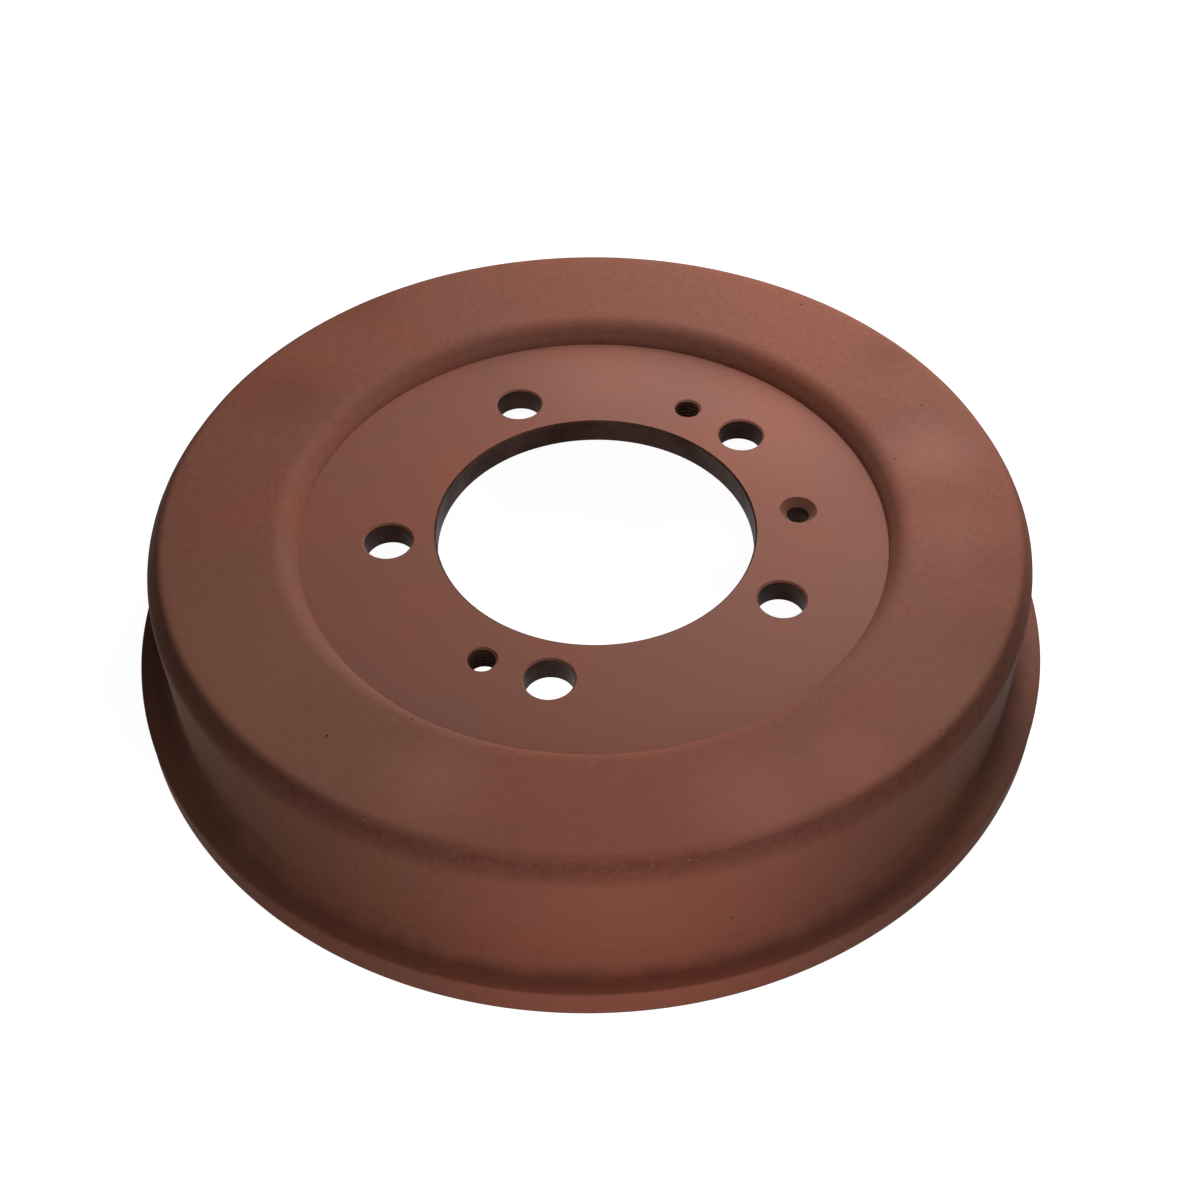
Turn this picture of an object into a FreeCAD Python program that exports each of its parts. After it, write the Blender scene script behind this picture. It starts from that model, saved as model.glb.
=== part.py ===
import FreeCAD, Part
import math
import os

# Cast-iron brake drum in one piece, turned on the wheel face, hub seat, bore, track and open rim.
# Origin on the drum's axis in the plane of the open rim, which the drum stands on. +Z points out of
# the wheel face, towards the wheel. +X runs through the countersunk retaining-screw hole.

# bore and web
hub_bore = 108.0                 # diameter that centres the drum on its hub
bore_chamfer = 0.6
web_thickness = 9.4              # wheel face to hub seat
wheel_face_diameter = 198.6      # machined flat the wheel seats on

# raised crown around the face
crown_height = 10.7              # cast crown above the wheel face, where the shoulder starts
crown_slope = 4.5                # degrees that the crown falls towards the wheel face
crown_thickness = 7.5
step_lip = 0.8                   # short upright edge that the turning of the wheel face leaves
step_slope = 60.0                # degrees at which the cast step rises from that edge
step_top_radius = 7.0
step_thickness = 7.7             # from the upright edge to the back of the step
step_back_lean = 8.0             # degrees that the back of the step leans outwards
step_inner_bevel = 5.0           # bevel behind the foot of the step
crown_inner_bevel = 4.0          # bevel in the hollow between step and crown, inside
shoulder_radius = 8.3            # outer rounding from crown to wall

# wall and braking track
track_diameter = 279.4           # 11 in drum
wall_thickness = 7.2
drum_depth = 47.3                # wheel face to open rim
track_top = 2.5                  # depth below the wheel face where the turned track ends
casting_skin = 1.0               # stock left above the turned track
ceiling_bevel = 5.0              # bevel between crown and wall, inside
rim_chamfer = 1.5                # lead-in for the brake shoes

# stiffening flange at the open rim
flange_width = 10.3              # beyond the wall
flange_lip = 11.0                # height of the flange's edge
flange_root_radius = 8.5
flange_edge_bevel = 0.8

# holes in the web
bolt_circle = 139.7
stud_count = 5
stud_hole = 16.0
stud_chamfer = 0.6
jack_thread_core = 8.5           # tapped M10 x 1.5, modelled at its core diameter
jack_entry = 10.2                # chamfer diameter at the mouth
jack_angles = (55.6, 233.4)      # from the retaining-screw hole to each tapped hole, almost opposite
screw_hole = 7.8
screw_countersink = 13.0         # 90 degree countersink
stud_angle = 180.0 / stud_count  # the retaining screw sits midway between two studs


def share(neighbour):
    """Part of a side that a corner may use: all but a trace of it if the other end is left sharp."""
    return 0.49 if any(neighbour[2:]) else 0.97


def outline(corners):
    """Closed outline of (radius, height, rounding, bevel) corners: a rounding is tangent to both sides
    and drawn in two halves, a bevel is cut back by the same length on both sides."""
    points = [FreeCAD.Vector(corner[0], 0, corner[1]) for corner in corners]
    count = len(points)
    edges = []
    last = None
    first = None
    for i in range(count):
        rounding, bevel = (list(corners[i]) + [0, 0])[2:4]
        here = points[i]
        back = points[i - 1] - here
        ahead = points[(i + 1) % count] - here
        half = back.getAngle(ahead) / 2
        room = min(back.Length * share(corners[i - 1]), ahead.Length * share(corners[(i + 1) % count]))
        back.normalize()
        ahead.normalize()
        reach = min(bevel if bevel else rounding / math.tan(half), room)
        stops = [here + back * reach, here + ahead * reach] if reach > 0 else [here]
        if last is not None:
            edges.append(Part.makeLine(last, stops[0]))
        else:
            first = stops[0]
        if bevel and reach > 0:
            edges.append(Part.makeLine(stops[0], stops[1]))
        elif reach > 0:
            radius = reach * math.tan(half)
            inward = (back + ahead).normalize()
            centre = here + inward * (radius / math.sin(half))
            middle = centre - inward * radius
            for start, end in ((stops[0], middle), (middle, stops[1])):
                bulge = ((start + end) / 2 - centre).normalize()
                edges.append(Part.Arc(start, centre + bulge * radius, end).toShape())
        last = stops[-1]
    edges.append(Part.makeLine(last, first))
    return Part.Wire(edges)


def turned(wire):
    """Solid of revolution of a half section round the drum's axis."""
    return Part.Face(wire).revolve(FreeCAD.Vector(), FreeCAD.Vector(0, 0, 1), 360)


def drilled(diameter, mouth, back_mouth, angle):
    """Cutter for a hole through the web, opened by 45 degrees to one diameter above, another below."""
    radius = diameter / 2
    clear = 1.0
    corners = [
        (0, face + clear),
        (mouth / 2 + clear, face + clear),
        (radius, face - (mouth / 2 - radius)),
        (radius, seat + (back_mouth / 2 - radius)),
        (back_mouth / 2 + clear, seat - clear),
        (0, seat - clear),
    ]
    turn = math.radians(angle)
    place = FreeCAD.Vector(bolt_circle / 2 * math.cos(turn), bolt_circle / 2 * math.sin(turn), 0)
    return turned(outline(corners)).translate(place)


# heights above the open rim
face = drum_depth
seat = face - web_thickness

# radii from the axis
bore_radius = hub_bore / 2
face_radius = wheel_face_diameter / 2
track_radius = track_diameter / 2
skin_radius = track_radius - casting_skin
wall_radius = track_radius + wall_thickness
flange_radius = wall_radius + flange_width
behind_step = face_radius + step_thickness

# the crown is a shallow cone, and its underside runs parallel to it
fall = math.tan(math.radians(crown_slope))
steep = math.tan(math.radians(step_slope))
lean = math.tan(math.radians(step_back_lean))


def crown_at(radius):
    return face + crown_height - (wall_radius - shoulder_radius - radius) * fall


def ceiling_at(radius):
    return crown_at(radius) - crown_thickness / math.cos(math.radians(crown_slope))


step_top = face_radius + (crown_at(face_radius) - face - step_lip) / (steep - fall)
behind_crown = behind_step + (ceiling_at(behind_step) - seat) * lean

# half section of the casting, from the bore outwards over the top and back along the inside
drum = turned(outline([
    (bore_radius, face, 0, bore_chamfer),
    (face_radius, face),
    (face_radius, face + step_lip),
    (step_top, crown_at(step_top), step_top_radius),
    (wall_radius, crown_at(wall_radius), shoulder_radius),
    (wall_radius, flange_lip, flange_root_radius),
    (flange_radius, flange_lip, 0, flange_edge_bevel),
    (flange_radius, 0, 0, flange_edge_bevel),
    (track_radius, 0, 0, rim_chamfer),
    (track_radius, face - track_top),
    (skin_radius, face - track_top),
    (skin_radius, ceiling_at(skin_radius), 0, ceiling_bevel),
    (behind_crown, ceiling_at(behind_crown), 0, crown_inner_bevel),
    (behind_step, seat, 0, step_inner_bevel),
    (bore_radius, seat, 0, bore_chamfer),
]))

# five stud holes, two tapped jacking holes and one countersunk screw hole
stud_mouth = stud_hole + 2 * stud_chamfer
cutters = []
for k in range(stud_count):
    cutters.append(drilled(stud_hole, stud_mouth, stud_mouth, stud_angle + 360.0 / stud_count * k))
for angle in jack_angles:
    cutters.append(drilled(jack_thread_core, jack_entry, jack_entry, angle))
cutters.append(drilled(screw_hole, screw_countersink, screw_hole + 2 * bore_chamfer, 0))
drum = drum.cut(cutters).Solids[0]

os.makedirs("parts", exist_ok=True)
drum.exportStep("parts/brake_drum.step")
print("brake_drum", "valid", drum.isValid(), "volume", round(drum.Volume / 1000, 1), "cm3", drum.BoundBox)
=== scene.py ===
import math
import bmesh
import bpy
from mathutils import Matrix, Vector, noise


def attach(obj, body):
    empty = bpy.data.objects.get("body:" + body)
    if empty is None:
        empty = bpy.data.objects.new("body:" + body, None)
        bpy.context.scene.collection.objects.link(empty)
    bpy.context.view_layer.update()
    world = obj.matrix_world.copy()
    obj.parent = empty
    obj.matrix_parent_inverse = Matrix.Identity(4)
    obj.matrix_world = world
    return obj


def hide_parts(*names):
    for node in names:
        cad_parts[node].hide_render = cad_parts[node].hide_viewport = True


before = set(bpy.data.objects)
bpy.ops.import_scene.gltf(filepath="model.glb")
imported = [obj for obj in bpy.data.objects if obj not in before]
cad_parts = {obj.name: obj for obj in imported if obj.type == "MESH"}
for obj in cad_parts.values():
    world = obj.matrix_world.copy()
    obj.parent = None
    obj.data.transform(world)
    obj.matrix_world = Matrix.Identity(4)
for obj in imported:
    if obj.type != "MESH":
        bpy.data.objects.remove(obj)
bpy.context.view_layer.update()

# brake drum: one iron casting in red-oxide primer, standing on its open rim
# origin on the axis in the plane of the open rim, +Z out of the wheel face, +X through the screw hole
# sizes are in mm and turn into metres where a mesh is made

mm = 0.001


# materials

def linear(hexColour):
    # sRGB hex to the linear colour that the nodes work in
    parts = [int(hexColour.lstrip("#")[i:i + 2], 16) / 255 for i in (0, 2, 4)]
    return tuple(c / 12.92 if c <= 0.04045 else ((c + 0.055) / 1.055) ** 2.4 for c in parts) + (1.0,)


def addNode(tree, kind, inputs=(), out=0, **settings):
    # one node with its settings; inputs are values or the outputs of other nodes, by place or by name
    node = tree.nodes.new("ShaderNode" + kind)
    for name, value in settings.items():
        setattr(node, name, value)
    for key, value in inputs.items() if isinstance(inputs, dict) else enumerate(inputs):
        if isinstance(value, bpy.types.NodeSocket):
            tree.links.new(value, node.inputs[key])
        else:
            node.inputs[key].default_value = value
    return node.outputs[out]


def startMaterial(name, **sockets):
    # what is the same all over the surface goes straight on the shader's sockets
    material = bpy.data.materials.new(name)
    material.use_nodes = True
    tree = material.node_tree
    shader = tree.nodes["Principled BSDF"]
    for key, value in sockets.items():
        shader.inputs[key.replace("_", " ")].default_value = value
    place = addNode(tree, "TexCoord", out="Object")
    place = addNode(tree, "VectorMath", {0: place, "Scale": 1 / mm}, operation="SCALE")   # metres to mm
    return material, tree, shader, place


def radiusAndHeight(tree, place):
    x = addNode(tree, "SeparateXYZ", [place])
    y, height = x.node.outputs[1:3]
    flat = addNode(tree, "CombineXYZ", [x, y])
    return addNode(tree, "VectorMath", [flat], out="Value", operation="LENGTH"), height


def spots(tree, place, spacing, radius, share):
    # round spots with soft edges in a share of the cells, which are spacing mm across
    # the smallest are 0.45 of the largest, and the outer 40 % of each one fades
    cell = addNode(tree, "TexVoronoi", {"Vector": place, "Scale": 1 / spacing})
    pick = addNode(tree, "SeparateColor", [cell.node.outputs["Color"]])
    largest = radius / spacing
    size = addNode(tree, "MapRange", [pick.node.outputs[1], 0, 1, 0.45 * largest, largest])
    reach = addNode(tree, "Math", [cell, size], operation="DIVIDE")
    body = addNode(tree, "MapRange", [reach, 0.6, 1.0, 1.0, 0.0])
    chosen = addNode(tree, "Math", [pick, share], operation="LESS_THAN")
    return addNode(tree, "Math", [body, chosen], operation="MULTIPLY")


def belt(tree, value, low, high, soft):
    # 1 between low and high, fading over soft mm at each end
    rise = addNode(tree, "MapRange", [value, low - soft, low + soft, 0, 1])
    fall = addNode(tree, "MapRange", [value, high - soft, high + soft, 1, 0])
    return addNode(tree, "Math", [rise, fall], operation="MULTIPLY")


def softPatches(tree, colour, place, c):
    # broad patches with faded edges, where the photograph has them
    # besides tone, some of them carry painted sheen and painted shade
    for x, y, z, size, tone, strength in c["patches"]:
        far = addNode(tree, "VectorMath", [place, (x, y, z)], out="Value", operation="DISTANCE")
        near = addNode(tree, "MapRange", [far, 0, size, strength, 0], interpolation_type="SMOOTHSTEP")
        colour = addNode(tree, "Mix", {0: near, 6: colour, 7: linear(c[tone])}, 2, data_type="RGBA")
    return colour


def finishMaterial(tree, shader, colour, roughness, relief):
    # relief is in mm
    bump = addNode(tree, "Bump", {"Height": relief, "Distance": mm})
    for socket, value in (("Base Color", colour), ("Roughness", roughness), ("Normal", bump)):
        tree.links.new(value, shader.inputs[socket])


# red-oxide primer sprayed over sand-cast iron: matte and brown-red, with the sand's grain showing
# through, a few pin holes, and lighter specks where the shoulder has been knocked
castPrimer = {
    "warm": "#7f4c3c",
    "dull": "#784d40",
    "mottle": 55.0,            # mm across each warm or dull area
    "mottleRange": (0.38, 0.62),           # part of the noise over which warm turns into dull
    "sand": 0.9,               # the sand's grains are 0.2 to 0.4 mm, drawn coarser so that they show
    "sandHeight": 0.05,
    "peel": 3.2,               # orange peel of the spray
    "peelHeight": 0.035,
    "peelShare": 0.5,          # of the peel in the grain's shade
    "grainShade": "#683d31",
    "grainRange": (0.62, 0.95),
    "grainShare": 0.45,
    "roughness": 0.75,
    "roughSpread": 0.05,
    "gloss": 0.1,              # chalky, with little binder on top, so it mirrors far less than enamel
    "pinHole": "#35201a",
    "pinSpacing": 8.0,
    "pinRadius": 0.5,
    "pinShare": 0.3,           # of the cells that have one
    "pinDepth": 0.25,

    "pale": "#956557",         # lighter: the spray's own tone, with painted sheen
    "deep": "#673d30",         # darker: the spray's own tone, with painted shade
    "sideShade": "#775341",         # painted shade: the wall's sides darker and greyer than its front
    "frontLight": "#864b3a",        # painted light: the wall's front redder than its sides
    "patches": [               # x, y, height, size, colour, strength
        # on the crown: lighter and darker tone, with painted sheen and painted shade
        (31, -128, 58, 30, "pale", 0.5),
        (-57, -108, 58, 26, "pale", 0.35),
        (119, 14, 58, 26, "pale", 0.45),
        (114, -24, 58, 24, "pale", 0.2),
        (62, -116, 58, 22, "pale", 0.3),
        (-104, 69, 58, 26, "deep", 0.55),
        (-77, 119, 58, 26, "deep", 0.5),
        (116, 69, 58, 18, "deep", 0.5),
        (-94, -77, 58, 18, "deep", 0.3),
        (129, -44, 58, 16, "deep", 0.35),
        # on the wall: painted shade on its two sides and painted light on its front
        (-128, -70, 30, 85, "sideShade", 0.9),
        (112, -95, 30, 70, "sideShade", 0.6),
        (4, -147, 28, 90, "frontLight", 0.7),
        # painted shade on the wall's right side
        (123, -78, 30, 44, "paintedShade", 0.9),
    ],

    # painted shade, in blots, in the root of the flange and at the foot of the step
    "paintedShade": "#4a2f27",
    "creaseShade": 0.4,
    "blots": 9.0,              # mm across
    "blotRange": (0.3, 0.62),
    "rootBelt": (147.0, 152.5, 1.6),       # from and to a radius, with faded ends
    "rootFade": (10.0, 19.0),              # heights between which it thins out
    "footBelt": (98.0, 101.0, 1.0),
    "footFade": (47.3, 50.5),
    "footShare": 0.3,

    # painted shade: a darker band over the shoulder, mottled by the grain, its wavy upper edge knocked
    # here and there
    "shoulderShade": "#5a3027",
    "shoulderBelt": (143.6, 149.0, 0.5),
    "shoulderFade": (50.0, 55.0),
    "shoulderWave": 1.6,
    "shoulderShadeRange": (0.4, 0.95),
    "shoulderShadeShare": (0.25, 0.65),
    "knock": "#8c7164",
    "knockBelt": (141.8, 144.6, 0.7),
    "knockSpacing": 2.6,
    "knockRadius": 0.4,
    "knockShare": 0.3,
    "knockDepth": 0.12,
}


def primedCasting(c):
    material, tree, shader, place = startMaterial(
        "redOxidePrimerOnSandCasting", Roughness=c["roughness"], Specular_IOR_Level=c["gloss"])
    radius, height = radiusAndHeight(tree, place)
    areas = addNode(tree, "TexNoise", {"Vector": place, "Scale": 1 / c["mottle"], "Detail": 3.0})
    sand = addNode(tree, "TexNoise", {
        "Vector": place, "Scale": 1 / c["sand"], "Detail": 2.0, "Roughness": 0.6})
    peel = addNode(tree, "TexNoise", {"Vector": place, "Scale": 1 / c["peel"], "Detail": 1.0})
    blots = addNode(tree, "TexNoise", {"Vector": place, "Scale": 1 / c["blots"], "Detail": 3.0})

    mottle = addNode(tree, "MapRange", [areas, *c["mottleRange"], 0, 1])
    colour = addNode(tree, "Mix", {
        0: mottle, 6: linear(c["warm"]), 7: linear(c["dull"])}, 2, data_type="RGBA")
    grain = addNode(tree, "Math", [peel, c["peelShare"], sand], operation="MULTIPLY_ADD")
    shade = addNode(tree, "MapRange", [grain, *c["grainRange"], 0, c["grainShare"]])
    colour = addNode(tree, "Mix", {0: shade, 6: colour, 7: linear(c["grainShade"])}, 2, data_type="RGBA")
    colour = softPatches(tree, colour, place, c)

    # painted shade in the flange's root and at the step's foot, broken into blots
    low = addNode(tree, "MapRange", [height, *c["rootFade"], 1, 0])
    root = addNode(tree, "Math", [belt(tree, radius, *c["rootBelt"]), low], operation="MULTIPLY")
    low = addNode(tree, "MapRange", [height, *c["footFade"], c["footShare"], 0])
    foot = addNode(tree, "Math", [belt(tree, radius, *c["footBelt"]), low], operation="MULTIPLY")
    hollow = addNode(tree, "Math", [root, foot], operation="MAXIMUM")
    cover = addNode(tree, "MapRange", [blots, *c["blotRange"], 0, c["creaseShade"]])
    creaseShade = addNode(tree, "Math", [hollow, cover], operation="MULTIPLY")
    colour = addNode(tree, "Mix", {0: creaseShade, 6: colour, 7: linear(c["paintedShade"])}, 2, data_type="RGBA")

    # painted shade over the shoulder
    wavy = addNode(tree, "Math", [blots, c["shoulderWave"], radius], operation="MULTIPLY_ADD")
    above = addNode(tree, "MapRange", [height, *c["shoulderFade"], 0, 1])
    band = addNode(tree, "Math", [belt(tree, wavy, *c["shoulderBelt"]), above], operation="MULTIPLY")
    shoulderShading = addNode(tree, "MapRange", [grain, *c["shoulderShadeRange"], *c["shoulderShadeShare"]])
    shoulderShading = addNode(tree, "Math", [band, shoulderShading], operation="MULTIPLY")
    colour = addNode(tree, "Mix", {0: shoulderShading, 6: colour, 7: linear(c["shoulderShade"])}, 2, data_type="RGBA")
    knock = spots(tree, place, c["knockSpacing"], c["knockRadius"], c["knockShare"])
    edge = addNode(tree, "Math", [belt(tree, wavy, *c["knockBelt"]), above], operation="MULTIPLY")
    knock = addNode(tree, "Math", [knock, edge], operation="MULTIPLY")
    colour = addNode(tree, "Mix", {0: knock, 6: colour, 7: linear(c["knock"])}, 2, data_type="RGBA")

    pin = spots(tree, place, c["pinSpacing"], c["pinRadius"], c["pinShare"])
    colour = addNode(tree, "Mix", {0: pin, 6: colour, 7: linear(c["pinHole"])}, 2, data_type="RGBA")

    relief = addNode(tree, "Math", [sand, c["sandHeight"]], operation="MULTIPLY")
    relief = addNode(tree, "Math", [peel, c["peelHeight"], relief], operation="MULTIPLY_ADD")
    relief = addNode(tree, "Math", [pin, -c["pinDepth"], relief], operation="MULTIPLY_ADD")
    relief = addNode(tree, "Math", [knock, -c["knockDepth"], relief], operation="MULTIPLY_ADD")
    smooth, coarse = c["roughness"] - c["roughSpread"], c["roughness"] + c["roughSpread"]
    roughness = addNode(tree, "MapRange", [sand, 0.3, 0.7, smooth, coarse])
    finishMaterial(tree, shader, colour, roughness, relief)
    return material


# the same primer over a turned face: smoother and a touch lighter, the tool's rings barely there
turnedPrimer = {
    "warm": "#804d3e",
    "dull": "#7a4f42",
    "mottle": 50.0,
    "mottleRange": (0.38, 0.62),
    # painted sheen on the face
    "pale": "#9a6558",
    "patches": [(72, 54, 47, 62, "pale", 0.32), (13, 80, 47, 45, "pale", 0.3)],    # painted sheen towards the far side of the face; columns as for the casting
    "spray": 1.1,              # droplets of the spray are finer, drawn coarser so that they show
    "sprayHeight": 0.018,
    "sprayShade": "#6e4437",
    "sprayRange": (0.5, 0.8),
    "sprayShare": 0.4,
    "pinHole": "#3a231c",
    "pinSpacing": 11.0,
    "pinRadius": 0.35,
    "pinShare": 0.25,
    "pinDepth": 0.12,
    "sinkShade": "#452a22",        # painted shade in the countersink of the screw hole
    "sinkShadeShare": 0.5,
    "sinkShadeFade": 0.2,
    "feed": 1.0,               # the tool's feed is about 0.25 mm, drawn coarser so that it shows
    "feedHeight": 0.003,
    "wander": 3.0,             # how far the rings stray from true circles
    "roughness": 0.65,
    "roughSpread": (-0.04, 0.05),
    "gloss": 0.12,
}


def primedTurned(c):
    material, tree, shader, place = startMaterial(
        "redOxidePrimerOnTurnedIron", Roughness=c["roughness"], Specular_IOR_Level=c["gloss"])
    radius = radiusAndHeight(tree, place)[0]
    areas = addNode(tree, "TexNoise", {"Vector": place, "Scale": 1 / c["mottle"], "Detail": 3.0})
    spray = addNode(tree, "TexNoise", {
        "Vector": place, "Scale": 1 / c["spray"], "Detail": 2.0, "Roughness": 0.6})

    mottle = addNode(tree, "MapRange", [areas, *c["mottleRange"], 0, 1])
    colour = addNode(tree, "Mix", {
        0: mottle, 6: linear(c["warm"]), 7: linear(c["dull"])}, 2, data_type="RGBA")
    colour = softPatches(tree, colour, place, c)
    shade = addNode(tree, "MapRange", [spray, *c["sprayRange"], 0, c["sprayShare"]])
    colour = addNode(tree, "Mix", {0: shade, 6: colour, 7: linear(c["sprayShade"])}, 2, data_type="RGBA")
    pin = spots(tree, place, c["pinSpacing"], c["pinRadius"], c["pinShare"])
    colour = addNode(tree, "Mix", {0: pin, 6: colour, 7: linear(c["pinHole"])}, 2, data_type="RGBA")
    # painted shade in the screw's countersink
    sink = (holes["circle"], 0, casting["faceHeight"])
    rim = holes["screw"]["mouth"]
    inside = addNode(tree, "VectorMath", [place, sink], out="Value", operation="DISTANCE")
    inside = addNode(tree, "MapRange", [inside, rim - c["sinkShadeFade"], rim, c["sinkShadeShare"], 0])
    colour = addNode(tree, "Mix", {0: inside, 6: colour, 7: linear(c["sinkShade"])}, 2, data_type="RGBA")

    stray = addNode(tree, "Math", [areas, c["wander"], radius], operation="MULTIPLY_ADD")
    turns = addNode(tree, "Math", [stray, 2 * math.pi / c["feed"]], operation="MULTIPLY")
    rings = addNode(tree, "Math", [turns], operation="SINE")
    relief = addNode(tree, "Math", [spray, c["sprayHeight"]], operation="MULTIPLY")
    relief = addNode(tree, "Math", [rings, c["feedHeight"], relief], operation="MULTIPLY_ADD")
    relief = addNode(tree, "Math", [pin, -c["pinDepth"], relief], operation="MULTIPLY_ADD")
    smooth, coarse = (c["roughness"] + more for more in c["roughSpread"])
    roughness = addNode(tree, "MapRange", [spray, 0.3, 0.7, smooth, coarse])
    finishMaterial(tree, shader, colour, roughness, relief)
    return material


# bare iron in the bore and holes, cut after priming and left with an oil film: nearly black, which is
# partly painted shade, with a dull gleam
boredIron = {
    "name": "oiledBoredIronAndPaintedShade",
    # darkened towards black with painted shade
    "iron": "#36241f",
    "stain": "#281712",
    "feed": 0.6,               # 0.2 mm in the real one, drawn coarser so that it shows
    "feedHeight": 0.008,
    "roughness": 0.55,
    "roughSpread": (-0.06, 0.12),          # where it is clean and where it is stained
    "blots": 16.0,             # mm across the stains
    "stainRange": (0.42, 0.68),
    "grain": 1.2,
    "grainHeight": 0.01,
    "wander": 0.5,
}

# the braking track, turned bright and oiled against rust: grey iron with fine rings
trackIron = {
    "name": "oiledTurnedIron",
    "iron": "#8d8a86",
    "stain": "#75675a",
    "feed": 0.8,               # 0.3 mm in the real one, drawn coarser so that it shows
    "feedHeight": 0.008,
    "roughness": 0.36,
    "roughSpread": (-0.06, 0.12),
    "blots": 16.0,
    "stainRange": (0.42, 0.68),
    "grain": 1.2,
    "grainHeight": 0.01,
    "wander": 0.5,
}


def turnedIron(c):
    material, tree, shader, place = startMaterial(c["name"], Metallic=1.0, Roughness=c["roughness"])
    radius, height = radiusAndHeight(tree, place)
    blots = addNode(tree, "TexNoise", {
        "Vector": place, "Scale": 1 / c["blots"], "Detail": 4.0, "Roughness": 0.6})
    grain = addNode(tree, "TexNoise", {"Vector": place, "Scale": 1 / c["grain"], "Detail": 2.0})
    stained = addNode(tree, "MapRange", [blots, *c["stainRange"], 0, 1])
    colour = addNode(tree, "Mix", {
        0: stained, 6: linear(c["iron"]), 7: linear(c["stain"])}, 2, data_type="RGBA")
    across = addNode(tree, "Math", [radius, height], operation="ADD")      # up the wall or over the rim
    stray = addNode(tree, "Math", [blots, c["wander"], across], operation="MULTIPLY_ADD")
    turns = addNode(tree, "Math", [stray, 2 * math.pi / c["feed"]], operation="MULTIPLY")
    rings = addNode(tree, "Math", [turns], operation="SINE")
    relief = addNode(tree, "Math", [grain, c["grainHeight"]], operation="MULTIPLY")
    relief = addNode(tree, "Math", [rings, c["feedHeight"], relief], operation="MULTIPLY_ADD")
    clean, dull = (c["roughness"] + more for more in c["roughSpread"])
    roughness = addNode(tree, "MapRange", [blots, 0.3, 0.7, clean, dull])
    finishMaterial(tree, shader, colour, roughness, relief)
    return material


# the casting: half section revolved, then drilled

casting = {
    "boreRadius": 54.0,
    "boreChamfer": 0.6,
    "faceHeight": 47.3,        # wheel face above the open rim
    "seatHeight": 37.9,        # hub seat, behind the wheel face
    "faceRadius": 99.3,
    "lipHeight": 48.1,         # top of the upright edge that the turning leaves beside the face
    "stepSlope": 60.0,         # degrees
    "stepRounding": 7.0,
    "crownHeight": 57.85,      # where the shoulder starts
    "crownSlope": 4.5,         # the crown falls towards the face
    "crownThickness": 7.5,
    "wallRadius": 146.9,
    "shoulderRadius": 142.2,   # where the crown breaks into the shoulder
    "shoulderDrop": 6.6,       # from there down to where the shoulder meets the wall
    "crownRounding": 3.2,
    "shoulderRounding": 8.0,
    "flangeRadius": 157.2,
    "flangeHeight": 10.5,
    "rootRounding": 8.5,
    "edgeRounding": 0.9,
    "trackRadius": 139.7,
    "trackChamfer": 1.5,
    "trackTop": 44.8,
    "skinRadius": 138.7,       # cast skin left above the turned track
    "ceilingRounding": 6.0,
    "behindStep": 107.0,
    "behindLean": 8.0,         # degrees that the back of the step leans outwards
    "innerRounding": 5.0,
    "around": 512,             # faces round the drum
    "spacing": 2.4,            # between points along the cast runs
    "trackSpacing": 6.0,
    "plainSpacing": 60.0,      # straight turned runs need few points
    "arcSpacing": 0.9,
    "sharpAngle": 32.0,        # edges that turn by more stay sharp
    "waveDepth": 0.16,         # how far the cast skin wanders inwards
    "waveSize": 34.0,
    "rippleDepth": 0.07,
    "rippleSize": 7.0,
    "looseRun": 4.0,           # the skin starts to wander at a turned band and is free this far from it
}


def roundedSection(corners, arcSpacing):
    # corners: radius, height, rounding, finish of the run that leaves the corner, spacing along it
    count = len(corners)
    stops = []
    for i in range(count):
        here = Vector(corners[i][:2])
        rounding = corners[i][2]
        back = Vector(corners[i - 1][:2]) - here
        ahead = Vector(corners[(i + 1) % count][:2]) - here
        if not rounding:
            stops.append([here])
            continue
        half = back.angle(ahead) / 2
        # a side between two roundings serves both, and one with a sharp end can be used up almost whole
        shares = [0.49 if corners[j][2] else 0.97 for j in (i - 1, (i + 1) % count)]
        reach = min(rounding / math.tan(half), back.length * shares[0], ahead.length * shares[1])
        radius = reach * math.tan(half)
        back.normalize()
        ahead.normalize()
        centre = here + (back + ahead).normalized() * radius / math.sin(half)
        spoke = here + back * reach - centre
        side = 1 if spoke.cross(-back) > 0 else -1
        turn = side * (math.pi - 2 * half)
        steps = max(3, round(abs(radius * turn) / arcSpacing))
        arc = []
        for k in range(steps + 1):
            a = turn * k / steps
            arc.append(centre + Vector((spoke.x * math.cos(a) - spoke.y * math.sin(a),
                                        spoke.x * math.sin(a) + spoke.y * math.cos(a))))
        stops.append(arc)
    points = []                # each point with the finish of the band that follows it
    for i in range(count):
        finish, spacing = corners[i][3:5]
        points += [(p, finish) for p in stops[i]]
        a, b = stops[i][-1], stops[(i + 1) % count][0]
        parts = max(1, round((b - a).length / spacing))
        points += [(a.lerp(b, k / parts), finish) for k in range(1, parts)]
    return points


def castSkin(points, c):
    # how freely each point may wander: 0 on turned bands, 1 well away from them
    count = len(points)
    loose = []
    for i in range(count):
        run = c["looseRun"]
        for way in (1, -1):
            travelled, j = 0.0, i
            while travelled < c["looseRun"]:
                band = points[j][1] if way > 0 else points[j - 1][1]
                if band != "cast":
                    break
                travelled += (points[(j + way) % count][0] - points[j][0]).length
                j = (j + way) % count
            run = min(run, travelled)
        loose.append(run / c["looseRun"])
    return loose


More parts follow.
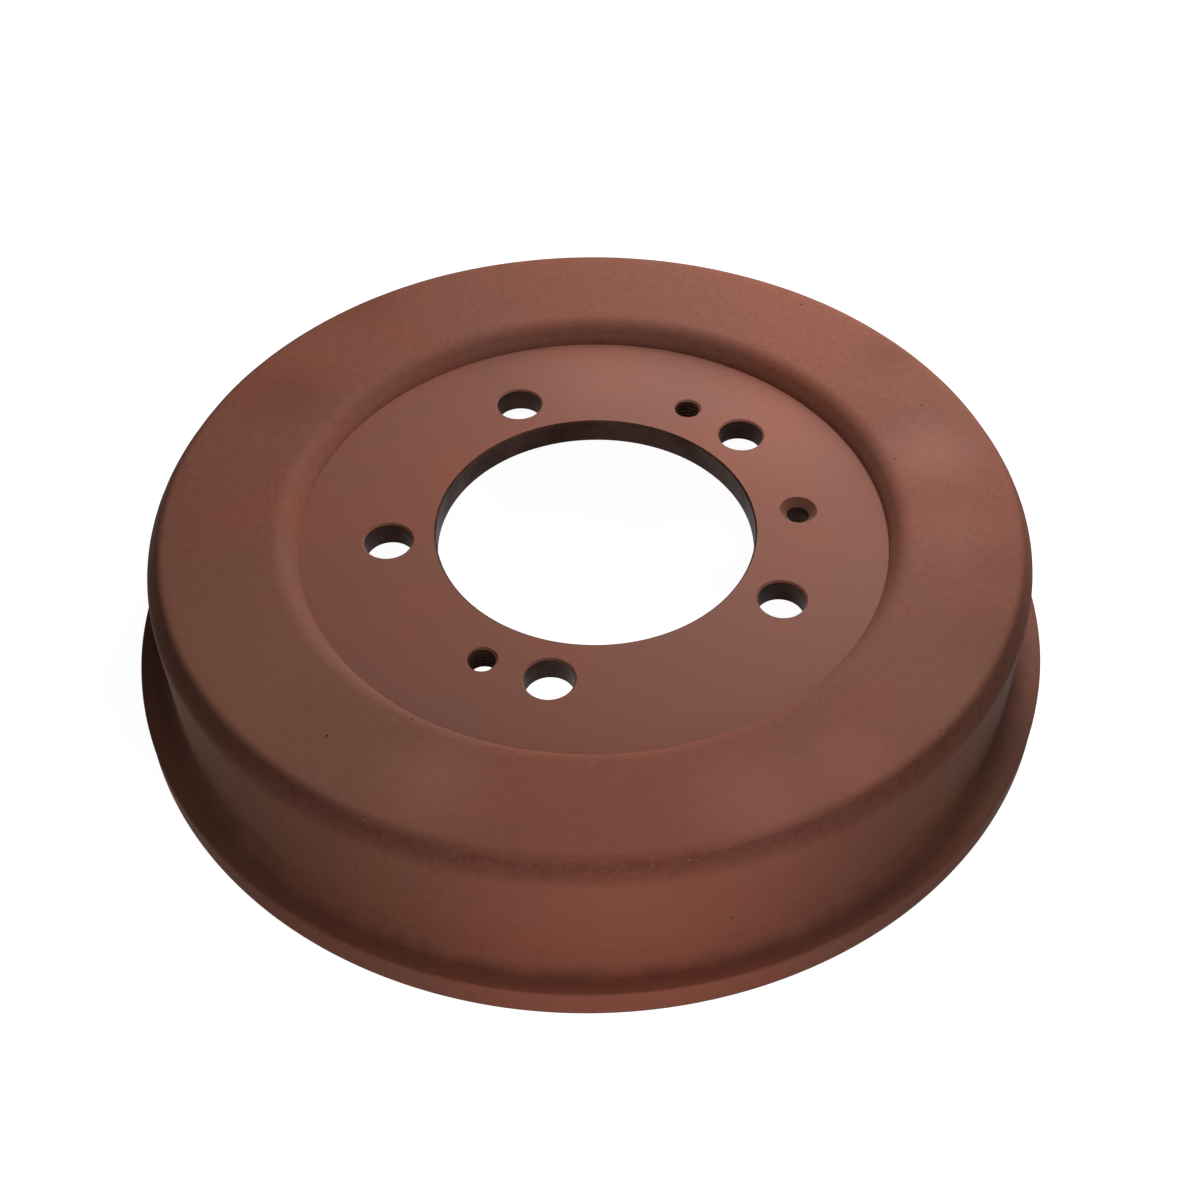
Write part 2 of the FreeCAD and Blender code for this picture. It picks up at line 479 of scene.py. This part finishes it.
def turnCasting(c):
    chamfer, leadIn = c["boreChamfer"], c["trackChamfer"]
    wide, fine = c["plainSpacing"], c["spacing"]
    slopes = (c["crownSlope"], c["stepSlope"], c["behindLean"])
    fall, steep, lean = (math.tan(math.radians(slope)) for slope in slopes)
    thick = c["crownThickness"] / math.cos(math.radians(c["crownSlope"]))
    crownAt = lambda radius: c["crownHeight"] - (c["skinRadius"] - radius) * fall
    ceilingAt = lambda radius: crownAt(radius) - thick
    stepTop = c["faceRadius"] + (crownAt(c["faceRadius"]) - c["lipHeight"]) / (steep - fall)
    behindCrown = c["behindStep"] + (ceilingAt(c["behindStep"]) - c["seatHeight"]) * lean
    shoulderTop = crownAt(c["shoulderRadius"])
    points = roundedSection([
        (c["boreRadius"], c["faceHeight"] - chamfer, 0, "bored", wide),
        (c["boreRadius"] + chamfer, c["faceHeight"], 0, "turned", wide),
        (c["faceRadius"], c["faceHeight"], 0, "cast", fine),
        (c["faceRadius"], c["lipHeight"], 0, "cast", fine),
        (stepTop, crownAt(stepTop), c["stepRounding"], "cast", fine),
        (c["shoulderRadius"], shoulderTop, c["crownRounding"], "cast", fine),
        (c["wallRadius"], shoulderTop - c["shoulderDrop"], c["shoulderRounding"], "cast", fine),
        (c["wallRadius"], c["flangeHeight"], c["rootRounding"], "cast", fine),
        (c["flangeRadius"], c["flangeHeight"], c["edgeRounding"], "cast", fine),
        (c["flangeRadius"], 0, c["edgeRounding"], "bored", wide),
        (c["trackRadius"] + leadIn, 0, 0, "track", wide),
        (c["trackRadius"], leadIn, 0, "track", c["trackSpacing"]),
        (c["trackRadius"], c["trackTop"], 0, "track", wide),
        (c["skinRadius"], c["trackTop"], 0, "cast", fine),
        (c["skinRadius"], ceilingAt(c["skinRadius"]), c["ceilingRounding"], "cast", fine),
        (behindCrown, ceilingAt(behindCrown), c["innerRounding"], "cast", fine),
        (c["behindStep"], c["seatHeight"], c["innerRounding"], "turned", wide),
        (c["boreRadius"] + chamfer, c["seatHeight"], 0, "bored", wide),
        (c["boreRadius"], c["seatHeight"] + chamfer, 0, "bored", wide),
    ], c["arcSpacing"])
    loose = castSkin(points, c)
    count = len(points)
    apart = Vector((9, 4, 2))                # moves the ripples off the waves' own noise
    mesh = bmesh.new()
    rings = []
    for i, (p, finish) in enumerate(points):
        along = points[(i + 1) % count][0] - points[i - 1][0]
        outward = Vector((-along.y, along.x)).normalized()     # left of the way the section runs
        ring = []
        for k in range(c["around"]):
            a = 2 * math.pi * k / c["around"]
            spot = Vector((p.x * math.cos(a), p.x * math.sin(a), p.y))
            if loose[i]:
                wave = 0.5 + 0.5 * noise.noise(spot / c["waveSize"])
                ripple = 0.5 + 0.5 * noise.noise(spot / c["rippleSize"] + apart)
                sink = loose[i] * (c["waveDepth"] * wave + c["rippleDepth"] * ripple)
                r, z = p - outward * sink
                spot = Vector((r * math.cos(a), r * math.sin(a), z))
            ring.append(mesh.verts.new(spot * mm))
        rings.append(ring)
    for i in range(count):
        upper, lower = rings[i], rings[(i + 1) % count]
        slot = finishOrder.index(points[i][1])
        for k in range(c["around"]):
            n = (k + 1) % c["around"]
            face = mesh.faces.new((upper[k], upper[n], lower[n], lower[k]))
            face.material_index = slot
    bmesh.ops.recalc_face_normals(mesh, faces=mesh.faces)
    return mesh


holes = {
    "circle": 69.85,           # radius that all eight holes sit on
    "stud": {"radius": 8.0, "mouth": 8.6, "back": 8.6, "at": [36 + 72 * k for k in range(5)]},
    "tapped": {"radius": 4.25, "mouth": 5.1, "back": 5.1, "at": [55.6, 233.4], "thread": 0.62},
    "screw": {"radius": 3.9, "mouth": 6.5, "back": 3.9, "at": [0]},        # 90 degree countersink
    "sides": 96,
    "threadSides": 72,
    "threadPitch": 1.5,        # M10 x 1.5
    "turnRows": 12,            # rows of faces in each turn of the thread
    "flank": 1.7,              # steepness of the thread's sides, which leaves a flat root
    "crest": 0.25,             # flat part of its crest
    "clear": 1,                # how far the cutters stand out of the web
}


def drillCutter(kind, angle, top, bottom):
    # a plug as wide as the hole at each height, opened by 45 degrees at both ends
    size = holes[kind]
    thread = size.get("thread", 0)
    pitch, turnRows = holes["threadPitch"], holes["turnRows"]
    sides = holes["threadSides"] if thread else holes["sides"]
    low, high = bottom - holes["clear"], top + holes["clear"]
    heights = {low, bottom + size["back"] - size["radius"], top - size["mouth"] + size["radius"], high}
    if thread:
        heights |= {low + pitch / turnRows * k for k in range(1, int((high - low) * turnRows / pitch))}
    heights = sorted(heights)
    cutter = bmesh.new()
    turn = math.radians(angle)
    centre = Vector((holes["circle"] * math.cos(turn), holes["circle"] * math.sin(turn), 0))
    rows = []
    for z in heights:
        row = []
        for k in range(sides):
            a = 2 * math.pi * k / sides
            r = max(size["radius"], size["mouth"] + z - top, size["back"] + bottom - z)
            if thread:
                phase = (z / pitch - k / sides) % 1.0
                groove = (1 - abs(phase - 0.5) * 2) * holes["flank"] - holes["crest"]
                r = max(r, size["radius"] + thread * min(1.0, max(0.0, groove)))
            row.append(cutter.verts.new((centre + Vector((r * math.cos(a), r * math.sin(a), z))) * mm))
        rows.append(row)
    mouthStart = top - size["mouth"] + size["radius"] - 0.01     # a hair lower, so that its own row counts
    for z, lower, upper in zip(heights, rows, rows[1:]):
        slot = finishOrder.index("turned" if z > mouthStart else "bored")
        for k in range(sides):
            n = (k + 1) % sides
            cutter.faces.new((lower[k], lower[n], upper[n], upper[k])).material_index = slot
    cutter.faces.new(rows[0][::-1])
    cutter.faces.new(rows[-1])
    bmesh.ops.recalc_face_normals(cutter, faces=cutter.faces)
    return cutter


def meshObject(name, mesh, materials):
    data = bpy.data.meshes.new(name)
    mesh.to_mesh(data)
    mesh.free()
    for material in materials:
        data.materials.append(material)
    piece = bpy.data.objects.new(name, data)
    bpy.context.collection.objects.link(piece)
    return piece


def drillCasting(piece, c):
    cutters = []
    for kind in ("stud", "tapped", "screw"):
        for angle in holes[kind]["at"]:
            plug = drillCutter(kind, angle, c["faceHeight"], c["seatHeight"])
            cutter = meshObject("cutter", plug, finishes.values())
            cutters.append(cutter)
            cut = piece.modifiers.new("drill", "BOOLEAN")
            cut.object = cutter
            cut.operation = "DIFFERENCE"
            cut.solver = "EXACT"
    drilled = bpy.data.meshes.new_from_object(piece.evaluated_get(bpy.context.evaluated_depsgraph_get()))
    piece.modifiers.clear()
    piece.data = drilled
    for cutter in cutters:
        bpy.data.objects.remove(cutter)
    for face in drilled.polygons:
        face.use_smooth = True
    drilled.set_sharp_from_angle(angle=math.radians(c["sharpAngle"]))


finishes = {
    "cast": primedCasting(castPrimer),
    "turned": primedTurned(turnedPrimer),
    "bored": turnedIron(boredIron),
    "track": turnedIron(trackIron),
}
finishOrder = list(finishes)
print("materials made:", ", ".join(m.name for m in finishes.values()))

drum = meshObject("drumCasting", turnCasting(casting), finishes.values())
drillCasting(drum, casting)
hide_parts("brake_drum")
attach(drum, "root")
print("casting turned and drilled:", len(drum.data.polygons), "faces")


# floor and background: white, kept pale for the camera and for reflections, and the shadow stays faint

studio = {
    "floorColour": "#8c8c8c",
    "seenFloor": 0.965,        # plain white that the camera sees on top of the lit paper
    "darkSpot": (81.0, 40.5, 8.0),         # x, y and radius of the shaded floor under the screw hole
    "floorSize": 6000.0,
    "floorGap": 0.2,           # below the rim, so that the two don't share a plane
    "worldColour": "#ffffff",
    "worldStrength": 0.01,
    "seenWorld": 0.975,        # as bright as the far floor, so that no horizon shows
}


def seenRay(tree):
    camera = addNode(tree, "LightPath", out="Is Camera Ray")
    glossy, through = (camera.node.outputs["Is " + kind + " Ray"] for kind in ("Glossy", "Transmission"))
    seen = addNode(tree, "Math", [camera, glossy], operation="MAXIMUM")
    return addNode(tree, "Math", [seen, through], operation="MAXIMUM")


def whiteFloor():
    material = bpy.data.materials.new("whitePaperSweep")
    material.use_nodes = True
    tree = material.node_tree
    tree.nodes.remove(tree.nodes["Principled BSDF"])
    paper = addNode(tree, "BsdfDiffuse", {"Color": linear(studio["floorColour"])})
    x, y, size = studio["darkSpot"]
    place = addNode(tree, "TexCoord", out="Object")
    far = addNode(tree, "VectorMath", [place, Vector((x, y, 0)) * mm], out="Value", operation="DISTANCE")
    lit = addNode(tree, "Math", [far, size * mm], operation="GREATER_THAN")
    lit = addNode(tree, "Math", [lit, studio["seenFloor"]], operation="MULTIPLY")
    seen = addNode(tree, "Math", [seenRay(tree), lit], operation="MULTIPLY")
    white = addNode(tree, "Emission", {"Strength": seen})
    both = addNode(tree, "AddShader", [paper, white])
    tree.links.new(both, tree.nodes["Material Output"].inputs["Surface"])
    return material


sweep = bmesh.new()
bmesh.ops.create_grid(sweep, x_segments=1, y_segments=1, size=studio["floorSize"] * mm)
floor = meshObject("paperFloor", sweep, [whiteFloor()])
floor.location.z = -studio["floorGap"] * mm

world = bpy.data.worlds.new("paleStudio")
bpy.context.scene.world = world
world.use_nodes = True
sky = world.node_tree
strength = addNode(sky, "MapRange", [seenRay(sky), 0, 1, studio["worldStrength"], studio["seenWorld"]])
sky.nodes["Background"].inputs["Color"].default_value = linear(studio["worldColour"])
sky.links.new(strength, sky.nodes["Background"].inputs["Strength"])
print("floor and world made")


# lamps: azimuth (0 is the camera's side, counted to the right) and elevation in degrees, distance
# and size in metres, watts, colour

lampAim = Vector((0, 0, 0.04))               # the spot over the floor that they all face, in metres
lamps = {
    "backSoftbox": (150, 30, 0.50, 0.30, 1.75, "#ffffff"),
    "backTop": (150, 50, 0.50, 0.30, 0.55, "#ffffff"),
    "rightSoftbox": (120, 60, 0.36, 0.20, 0.73, "#ffffff"),
    "frontFill": (0, 25, 0.45, 0.25, 0.33, "#ffffff"),
    "frontCard": (340, 5, 0.40, 0.20, 0.11, "#ffffff"),
    "lowCard": (0, 2, 0.30, 0.12, 0.13, "#ffffff"),
}


def hangLamp(name, azimuth, elevation, distance, size, watts, colour):
    a, e = math.radians(azimuth), math.radians(elevation)
    light = bpy.data.lights.new(name, "AREA")
    light.shape = "SQUARE"
    light.size = size
    light.energy = watts
    light.color = linear(colour)[:3]
    lamp = bpy.data.objects.new(name, light)
    away = Vector((math.sin(a) * math.cos(e), -math.cos(a) * math.cos(e), math.sin(e)))
    lamp.location = lampAim + away * distance
    lamp.rotation_euler = away.to_track_quat("Z", "Y").to_euler()
    bpy.context.collection.objects.link(lamp)


for name, values in lamps.items():
    hangLamp(name, *values)


# camera at the photograph's viewing angle, its lens axis a little right of the picture's middle

view = {
    "location": (-36.11, -383.51, 418.96),
    "rotation": (43.349, -1.958, -8.228),
    "lens": 47.188,
    "sensor": 36.0,
    "nearest": 10.0,           # what is closer to the lens isn't drawn
    "shift": (-0.0753, -0.0007),
}

camera = bpy.data.objects.new("camera", bpy.data.cameras.new("camera"))
camera.location = Vector(view["location"]) * mm
camera.rotation_euler = [math.radians(angle) for angle in view["rotation"]]
camera.data.sensor_width = view["sensor"]
camera.data.lens = view["lens"]
camera.data.shift_x, camera.data.shift_y = view["shift"]
camera.data.clip_start = view["nearest"] * mm
bpy.context.collection.objects.link(camera)
bpy.context.scene.camera = camera
bpy.context.scene.view_settings.view_transform = "Standard"

print("lamps and camera set")
